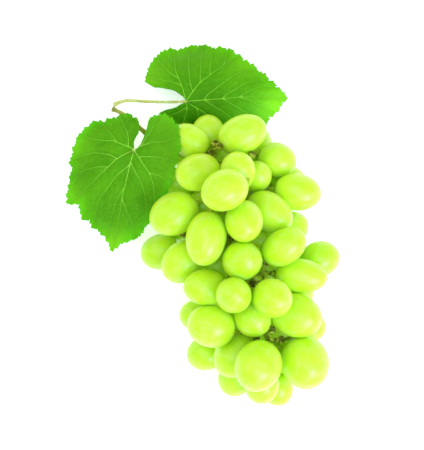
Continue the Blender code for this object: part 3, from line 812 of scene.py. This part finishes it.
upperLeaf = {
    "node": "upper_leaf",
    "fromLow": (36.3, 14.41, 14.2),
    "notchStart": [(0, 215), (2.8, 208), (5.6, 209), (10.5, 202), (14.6, 202), (20, 203)],
    "notchEnd": [
        (0, 470), (1.6, 479), (4.6, 490), (8.4, 499), (11.7, 507), (17.9, 515), (22.2, 514), (30, 512),
    ],
    "edge": [
        (-13.5, -5.5), (-13.2, -9.0), (-10.4, -12.0), (-6.4, -14.0), (-2.2, -14.4), (3.6, -14.2),
        (9.2, -14.2), (14.2, -14.4), (20.0, -14.6), (26.0, -14.4), (30.4, -13.6), (36.0, -12.4),
        (41.2, -10.6), (42.0, -7.2), (44.6, -6.3), (45.2, -4.9), (47.3, -4.2), (47.2, -2.0), (49.0, -1.0),
        (48.9, 0.2), (51.0, 1.4), (50.3, 4.6), (48.6, 5.2), (48.0, 7.2), (45.3, 8.0), (44.8, 10.4),
        (41.8, 11.3), (40.6, 14.1), (36.6, 15.6), (35.9, 17.1), (34.7, 19.1), (31.9, 19.7), (31.4, 21.2),
        (28.5, 21.6), (27.6, 24.7), (24.8, 24.9), (24.2, 26.2), (22.4, 27.7), (20.2, 27.2), (17.9, 28.4),
        (14.4, 27.6), (12.8, 28.0), (10.6, 29.2), (7.1, 29.6), (5.4, 28.6), (3.2, 29.8), (0.2, 28.7),
        (-2.2, 27.8), (-5.1, 26.6), (-7.6, 27.8), (-10.4, 26.6), (-12.6, 25.9), (-15.6, 23.0), (-17.6, 20.6),
        (-19.4, 17.6), (-19.5, 15.6), (-20.6, 13.4), (-20.9, 11.4), (-20.0, 9.7),
    ],
    "veins": [
        ((0.55, 0.10), [(0, 0), (9.1, 0.8), (18.3, 1.5), (27.2, 2.3), (36, 2.4), (42.6, 2.3), (50.6, 1.5)]),
        ((0.46, 0.09), [(0, 0), (3.4, 4.9), (7.1, 9.6), (12.2, 13.7), (20.3, 19.8), (26.5, 24)]),
        ((0.36, 0.08), [(9.1, 0.8), (11, 3.5), (13.7, 5.6), (21.8, 11.7), (26.9, 15), (36, 17)]),
        ((0.34, 0.08), [(18.3, 1.5), (21, 4), (24.9, 6.1), (32.5, 10.2), (43.5, 11)]),
        ((0.28, 0.07), [(26.9, 2.5), (32.5, 5.6), (37, 7.4), (46.5, 8)]),
        ((0.30, 0.08), [(3.4, 4.9), (2.2, 9), (1.9, 12.2), (1.3, 18.3), (1.3, 28)]),
        ((0.28, 0.07), [(7.1, 9.6), (7.2, 14), (7.6, 20), (8, 28.4)]),
        ((0.26, 0.07), [(12.2, 13.7), (12.3, 18), (13.2, 27.5)]),
        ((0.26, 0.07), [(18.8, 18.8), (20.0, 22), (21, 27)]),
        ((0.42, 0.09), [(0, 0), (-1, 4.1), (-2.2, 8), (-3.6, 11.7), (-5.4, 16), (-6.1, 22.8), (-7, 27.5)]),
        ((0.30, 0.08), [(-3.6, 11.7), (-8, 14.6), (-12, 19), (-15, 23.5)]),
        ((0.26, 0.07), [(-2.2, 8), (-7, 10), (-13, 11.4), (-20, 14)]),
        ((0.40, 0.09), [(0, 0), (5.1, -3), (11.7, -7.1), (18, -12), (21, -14.4)]),
        ((0.36, 0.09), [(0, 0), (0.5, -4.1), (-1, -9), (-1.6, -14.4)]),
        ((0.26, 0.07), [(0.4, -3.0), (-5, -5.6), (-12, -8.4)]),
        ((0.32, 0.08), [(9.1, 0.8), (14, -2.2), (19.6, -5.6), (26, -10), (30, -13.4)]),
        ((0.32, 0.08), [(18.3, 1.5), (24, -1.6), (30, -5), (37, -10.4)]),
        ((0.26, 0.07), [(26.9, 2.3), (33, 0.2), (39, -2.6), (44.5, -6)]),
        ((0.24, 0.07), [(5.1, -3), (6.2, -7), (7.2, -13.6)]),
    ],
    "smallTooth": (2.4, 1.05),
    # place, reach and strength of the patches of painted light, and of painted shade where the strength is
    # below 0
    "glow": [
        ((50, -1), 10, 1.0), ((42, -5), 8, 0.4), ((-20, 12), 9, 0.5), ((30, 20), 9, 0.4),
        ((3, -14), 14, -1.1),
    ],
    # rim and lit are colours of painted light, shade is the colour of painted shade
    "finish": {
        "deep": (0.066, 0.27, 0.002), "mid": (0.110, 0.38, 0.003), "rim": (0.120, 0.46, 0.002),
        "lit": (0.27, 0.68, 0.012), "shade": (0.024, 0.115, 0.0006), "net": (0.16, 0.47, 0.012),
        "vein": (0.34, 0.74, 0.060), "rimFrom": 0.76,
    },
    "route": [
        (-8.6, 63.21, 16.9), (-17.5, 62.61, 22), (-27.6, 62.51, 27), (-37.6, 62.81, 30),
        (-42, 62.11, 30.4), (-45.3, 60.71, 29.3),
    ],
}


def smoothRoute(corners, step):
    # rounded line through the corners
    corners = [np.array(c, float) for c in corners]
    corners = [2 * corners[0] - corners[1], *corners, 2 * corners[-1] - corners[-2]]
    line = []
    for a, b, c, d in zip(corners, corners[1:], corners[2:], corners[3:]):
        count = max(1, round(np.linalg.norm(c - b) / step))
        for k in range(count):
            t = k / count
            line.append(0.5 * (
                2 * b + (c - a) * t + (2 * a - 5 * b + 4 * c - d) * t * t
                + (3 * b - a - 3 * c + d) * t**3
            ))
    line.append(corners[-2])
    return np.array(line)


def thinPlate(places, heights, ease):
    # smooth height over the plane, bent as little as the CAD blade lets it
    def kernel(first, second):
        far = ((first[:, None] - second[None]) ** 2).sum(2)
        return 0.5 * far * np.log(far + 1e-9)

    count = len(places)
    base = np.c_[np.ones(count), places]
    table = np.block([[kernel(places, places) + ease * np.eye(count), base], [base.T, np.zeros((3, 3))]])
    weights = np.linalg.solve(table, np.r_[heights, 0, 0, 0])

    def heightAt(where):
        found = [
            kernel(part, places) @ weights[:count] + np.c_[np.ones(len(part)), part] @ weights[count:]
            for part in np.array_split(where, max(1, len(where) // 4000))
        ]
        return np.concatenate(found)

    return heightAt


class VeinNet:
    # finds the nearest vein through points set closely along every vein

    def __init__(self, veins):
        starts, ends, sizes = [], [], []
        for widths, line in veins:
            share = np.linspace(0, 1, len(line))
            width = widths[0] + (widths[1] - widths[0]) * share**0.7
            starts.append(line[:-1])
            ends.append(line[1:])
            sizes.append(np.c_[width[:-1], width[1:]] / 2)
        self.start, self.end, self.half = (np.concatenate(part) for part in (starts, ends, sizes))
        self.run = self.end - self.start
        count = 4
        self.tree = KDTree(len(self.start) * count)
        for i, (start, run) in enumerate(zip(self.start, self.run)):
            for k in range(count):
                self.tree.insert((*(start + run * (k + 0.5) / count), 0), i)
        self.tree.balance()

    def across(self, places):
        # signed distance in half widths of the nearest vein, and the plain distance in mm
        nearest = np.array([self.tree.find((*place, 0))[1] for place in places])
        run, away = self.run[nearest], places - self.start[nearest]
        share = np.clip((away * run).sum(1) / (run**2).sum(1), 0, 1)
        off = away - run * share[:, None]
        plain = np.linalg.norm(off, axis=1)
        half = self.half[nearest]
        half = half[:, 0] + (half[:, 1] - half[:, 0]) * share
        side = np.where(run[:, 0] * off[:, 1] - run[:, 1] * off[:, 0] < 0, -1, 1)
        return np.clip(plain / half, 0, noVein[0]) * side, plain


def sideVeins(mains, net, insideShare):
    # thin veins fork off both sides of every main vein and bend towards the edge
    grown = []
    for _, line in mains:
        lengths = np.r_[0, np.cumsum(np.linalg.norm(np.diff(line, axis=0), axis=1))]
        if lengths[-1] < 7:
            continue
        at = 3.0 + random.uniform(0, 1.5)
        side = 1
        while at < lengths[-1] - 1.5:
            i = min(np.searchsorted(lengths, at), len(line) - 1)
            ahead = line[i] - line[i - 1]
            ahead = ahead / np.linalg.norm(ahead)
            turn = math.radians(random.uniform(*leafLook["forkAngle"])) * side
            bend = -side * math.radians(1.6)
            spot, branch = line[i].copy(), [line[i].copy()]
            for step in range(26):
                way = np.array([
                    ahead[0] * math.cos(turn) - ahead[1] * math.sin(turn),
                    ahead[0] * math.sin(turn) + ahead[1] * math.cos(turn),
                ])
                spot = spot + way * 0.6
                if insideShare(spot) > 0.97:
                    break
                if step > 4 and net.across(spot[None])[1][0] < 0.55:
                    branch.append(spot.copy())
                    break
                branch.append(spot.copy())
                turn += bend + math.radians(random.uniform(-2.5, 2.5))
            if len(branch) > 3:
                grown.append((leafLook["forkWidths"], np.array(branch)))
            at += random.uniform(*leafLook["forkSpacing"])
            side = -side
    return grown


def leafEdge(leaf):
    # the toothed edge as share of the way round and radius, with both notch sides as radii and angles
    start = np.array(leaf["notchStart"], float).T
    end = np.array(leaf["notchEnd"], float).T
    corners = np.array(leaf["edge"], float)
    tipAt = np.linalg.norm(corners, axis=1).argmax()
    dense = []
    for i, (a, b) in enumerate(zip(corners, corners[1:])):
        length = np.linalg.norm(b - a)
        count = max(1, round(length / leafLook["step"]))
        outward = np.array([b[1] - a[1], a[0] - b[0]]) / length
        small = round(length / leaf["smallTooth"][0])
        tall = leaf["smallTooth"][1] * random.uniform(0.6, 1.3) if small else 0.15
        small = max(small, 1)
        for k in range(count):
            # small teeth lean towards the leaf's tip
            rise = (k / count * small) % 1.0
            rise = rise if i < tipAt else 1 - rise
            tooth = (rise / 0.8) ** 1.4 if rise < 0.8 else (1 - rise) / 0.2
            dense.append(a + (b - a) * k / count + outward * tall * tooth * (k > 0))
    dense.append(corners[-1])
    dense = np.array(dense)
    radius = np.linalg.norm(dense, axis=1)
    angle = np.degrees(np.unwrap(np.arctan2(dense[:, 1], dense[:, 0])))
    first = np.interp(radius, *start)
    last = np.interp(radius, *end)
    angle += 360 * round((first[0] - angle[0]) / 360)
    share = (angle - first) / (last - first)
    share = (share - share[0]) / (share[-1] - share[0])
    # the way round never turns back, so that no column of the grid folds over
    least = np.arange(len(share)) * 1.5e-4
    share = np.maximum.accumulate(share - least) + least
    return share / share[-1], radius, start, end


def leafMaterial(name, values):
    look = leafLook
    material, tree, shader = newMaterial(name)
    place = objectPlace(tree)
    across, plain, edge = parts(tree, "mainVein")
    forkAcross, forkPlain, atBase = parts(tree, "sideVein")
    # lit holds the patches of painted light and painted shade, outer the share of the way to the edge
    lit, outer = parts(tree, "glow")[:2]
    mottles = useGroup(tree, mottling, {"Place": place, "Patch": 75.0, "Grain": 900.0})
    grains = sums(tree, "MULTIPLY", mottles["Grains"], 0.4)
    patches = sums(tree, "MULTIPLY_ADD", mottles["Patches"], 0.6, grains)
    colour = blendColours(tree, patches, values["deep"], values["mid"])
    # painted light: the colour is lighter near the edge, where light would come through
    rim = between(tree, edge, values["rimFrom"], 1.0)
    rim = sums(tree, "MULTIPLY", rim, sums(tree, "MULTIPLY_ADD", mottles["Patches"], 0.5, 0.5))
    colour = blendColours(tree, rim, colour, values["rim"])
    # painted light on some parts, and painted shade where the berries would shade the leaf
    colour = blendColours(tree, sums(tree, "MULTIPLY", lit, 0.8, clamp=True), colour, values["lit"])
    colour = blendColours(tree, sums(tree, "MULTIPLY", lit, -0.8, clamp=True), colour, values["shade"])
    # the net of the smallest veins
    warp = addNode(tree, "TexNoise", {"Vector": place, "Scale": 300.0}).outputs["Color"]
    shift = {0: warp, 1: (0.0012, 0.0012, 0.0012), 2: place}
    bent = addNode(tree, "VectorMath", shift, operation="MULTIPLY_ADD").outputs[0]
    coarse, small = (
        addNode(tree, "TexVoronoi", {"Vector": bent, "Scale": scale}, feature="DISTANCE_TO_EDGE").outputs[0]
        for scale in (520.0, 1500.0)
    )
    coarse = between(tree, coarse, 0.02, 0.10, 1.0, 0.0)
    small = between(tree, small, 0.03, 0.16, 1.0, 0.0)
    net = sums(tree, "MULTIPLY_ADD", small, 0.35, sums(tree, "MULTIPLY", coarse, 0.65))
    colour = blendColours(tree, sums(tree, "MULTIPLY", net, 0.20), colour, values["net"])
    # darker beside the veins, pale lines on them
    beside = between(tree, plain, 0.2, 2.2, 0.22, 0.0)
    colour = blendColours(tree, beside, colour, values["deep"])
    near = between(tree, plain, 1.0, 2.0, 1.0, 0.0)
    line = between(tree, sums(tree, "ABSOLUTE", across), 0.55, 1.35, 1.0, 0.0)
    line = sums(tree, "MULTIPLY", line, near)
    forkNear = between(tree, forkPlain, 0.6, 1.2, 1.0, 0.0)
    forkLine = between(tree, sums(tree, "ABSOLUTE", forkAcross), 0.5, 1.8, 1.0, 0.0)
    forkLine = sums(tree, "MULTIPLY", forkLine, forkNear)
    colour = blendColours(tree, sums(tree, "MULTIPLY", forkLine, 0.20), colour, values["vein"])
    faded = between(tree, outer, 0.15, 0.85, 0.95, 0.40)
    colour = blendColours(tree, sums(tree, "MULTIPLY", line, faded), colour, values["vein"])
    # the leaf stem, and the knot where it meets the veins
    stem = blendColours(tree, mottles["Grains"], *look["stem"])
    blush = between(tree, cloud(tree, place, 160.0), 0.45, 0.65, 0.0, 0.35)
    stem = blendColours(tree, blush, stem, look["blush"])
    colour = blendColours(tree, between(tree, atBase, 0.1, 0.5, 0.0, 0.9), colour, look["knot"])
    colour = blendColours(tree, between(tree, atBase, 0.7, 0.9), colour, stem)
    tiny = useGroup(tree, specks, {"Place": place, "Spacing": 180.0, "Size": 0.10, "Share": 0.18})["Dots"]
    colour = blendColours(tree, sums(tree, "MULTIPLY", tiny, 0.5), colour, look["speck"])
    tree.links.new(colour, shader.inputs["Base Color"])
    rough = sums(tree, "MULTIPLY_ADD", mottles["Grains"], 0.14, 0.42)
    tree.links.new(rough, shader.inputs["Roughness"])
    height = sums(tree, "MULTIPLY_ADD", net, -0.5, sums(tree, "MULTIPLY", mottles["Grains"], 0.35))
    height = sums(tree, "MULTIPLY_ADD", forkLine, -0.5, height)
    bump = addNode(tree, "Bump", {"Height": height, "Strength": 0.35, "Distance": 0.00025})
    tree.links.new(bump.outputs[0], shader.inputs["Normal"])
    shader.inputs["Subsurface Weight"].default_value = 0.35
    shader.inputs["Subsurface Radius"].default_value = (0.0008, 0.0016, 0.0003)
    shader.inputs["Subsurface Scale"].default_value = 1.0
    shader.inputs["Specular IOR Level"].default_value = 0.07
    return material


def insideOf(outline):
    share, radius, notchStart, notchEnd = outline

    def insideShare(spot):
        # 0 at the leaf's base, 1 on its edge, and 2 anywhere in the notch
        far = math.hypot(*spot)
        angle = math.degrees(math.atan2(spot[1], spot[0]))
        first, last = np.interp(far, *notchStart), np.interp(far, *notchEnd)
        while angle < first - 20:
            angle += 360
        along = (angle - first) / (last - first)
        if not 0.01 < along < 0.99:
            return 2.0
        return far / np.interp(along, share, radius)

    return insideShare


def bladePlan(outline):
    # a grid whose rings widen from the base to the toothed edge, seen from above
    share, radius, notchStart, notchEnd = outline
    bm = bmesh.new()
    columns = len(share)
    bmesh.ops.create_grid(bm, x_segments=columns - 1, y_segments=leafLook["rings"] - 1, size=1)
    grid = np.array([v.co for v in bm.verts])
    column = np.rint((grid[:, 0] + 1) / 2 * (columns - 1)).astype(int)
    ring = ((grid[:, 1] + 1) / 2) ** 0.85
    far = ring * radius[column]
    first, last = np.interp(far, *notchStart), np.interp(far, *notchEnd)
    angle = np.radians(first + share[column] * (last - first))
    return bm, ring, far, np.c_[far * np.cos(angle), far * np.sin(angle)]


def bladeRelief(flat, far, ring, mainPlain, forkPlain, seed):
    # flesh domed between sunken veins, and an edge that ripples
    look = leafLook
    fade = np.clip(far / 6, 0, 1)
    spread = np.minimum(mainPlain, 4.0)
    relief = look["dome"] * fade * (1 - np.exp(-(spread / 1.9) ** 2)) - look["dome"] * 0.5
    relief -= look["groove"] * 0.5 * np.exp(-(forkPlain / 0.6) ** 2) * fade
    relief -= look["groove"] * np.exp(-(mainPlain / 0.8) ** 2)
    sheet = np.c_[flat, np.zeros(len(flat))]
    relief += look["wave"] * ring**3 * noiseAt(sheet, 8.0, seed)
    return relief + 0.14 * noiseAt(sheet, 2.6, seed + 1) * fade


def clearOfBerries(places):
    # pushed out until the blade's underside keeps its gap from every berry
    for _ in range(2):
        for berry in berries:
            gap, out = reachOf(berry, places)
            push = np.maximum(0, leafLook["berryGap"] + leafLook["thickness"] / 2 - gap)
            push = np.where(gap > -6, push, 0)
            places = places + out * push[:, None]
    return places


def addLeafStem(bm, route, base):
    # tapers towards the blade, thick where it leaves the stalk, and carries the stem's colour
    bladeCount = len(bm.verts)
    along = np.arange(len(route))
    radii = 0.66 + 0.22 * np.linspace(0, 1, len(route)) ** 2 + 0.05 * np.sin(along * 0.9)
    radii += 0.30 * np.exp(-along[::-1] / 1.8) - 0.22 * np.exp(-along / 1.5)
    route = route - np.c_[0 * along, 0 * along, 0.5 * np.exp(-along / 1.5)]
    sweepTube(bm, [Vector(p) * mm for p in route], radii * mm, 16)
    bm.verts.ensure_lookup_table()
    mainVein, sideVein = (bm.verts.layers.float_vector[name] for name in ("mainVein", "sideVein"))
    for v in bm.verts[bladeCount:]:
        # the stem's own end is as pale as the knot of veins
        fromKnot = math.hypot(v.co.x / mm - base[0], v.co.y / mm - base[1])
        v[sideVein] = (*noVein, min(1.0, 0.4 + 0.35 * fromKnot))
        v[mainVein] = (*noVein, 0.5)


def buildLeaf(leaf, finish, seed):
    base = np.array(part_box(leaf["node"])[0]) / mm + np.array(leaf["fromLow"])
    outline = leafEdge(leaf)
    route = smoothRoute(leaf["route"], 1.0)

    # the CAD blade, without its stem, gives the lie of the leaf
    copy = mergedCopy(leaf["node"])
    corners = np.array([v.co for v in copy.verts]) / mm
    copy.free()
    toStem = np.linalg.norm(corners[:, None] - route[None, 3:], axis=2).min(1)
    corners = corners[toStem > 1.6]
    lie = thinPlate(corners[:, :2], corners[:, 2], 1.5)

    mains = [(widths, smoothRoute([(x, y) for x, y in line], 0.8)) for widths, line in leaf["veins"]]
    mainNet = VeinNet(mains)
    forks = sideVeins(mains, mainNet, insideOf(outline))
    bm, ring, far, flat = bladePlan(outline)
    mainSigned, mainPlain = mainNet.across(flat)
    forkSigned, forkPlain = VeinNet(forks).across(flat)
    here = flat + base[:2]
    height = lie(here) + bladeRelief(flat, far, ring, mainPlain, forkPlain, seed)
    moveTo(bm, clearOfBerries(np.c_[here, height]) * mm)

    knot = 0.6 * np.exp(-(far / 0.9) ** 2)
    # strength of the painted light, and of the painted shade below 0, at each place
    glow = sum(
        strength * np.exp(-((flat - np.array(spot)) ** 2).sum(1) / reach**2)
        for spot, reach, strength in leaf["glow"]
    )
    setLayer(bm, "mainVein", np.c_[mainSigned, mainPlain, ring])
    setLayer(bm, "sideVein", np.c_[forkSigned, forkPlain, knot])
    setLayer(bm, "glow", np.c_[glow, far / far.max(), 0 * far])
    bmesh.ops.remove_doubles(bm, verts=bm.verts, dist=0.00002)
    bm.normal_update()
    if sum(f.normal.z * f.calc_area() for f in bm.faces) < 0:
        bmesh.ops.reverse_faces(bm, faces=bm.faces)
    bm.normal_update()
    bm = applied(bm, "SOLIDIFY", thickness=leafLook["thickness"] * mm, offset=0)
    addLeafStem(bm, route, base)
    piece = addPiece(leaf["node"] + "_blade", bm, finish, leaf["node"])
    print(leaf["node"], "has", len(piece.data.polygons), "faces and", len(forks), "side veins")


buildLeaf(leftLeaf, leafMaterial("leftLeafSkin", leftLeaf["finish"]), 11)
buildLeaf(upperLeaf, leafMaterial("upperLeafSkin", upperLeaf["finish"]), 23)
print("leaves are laid")
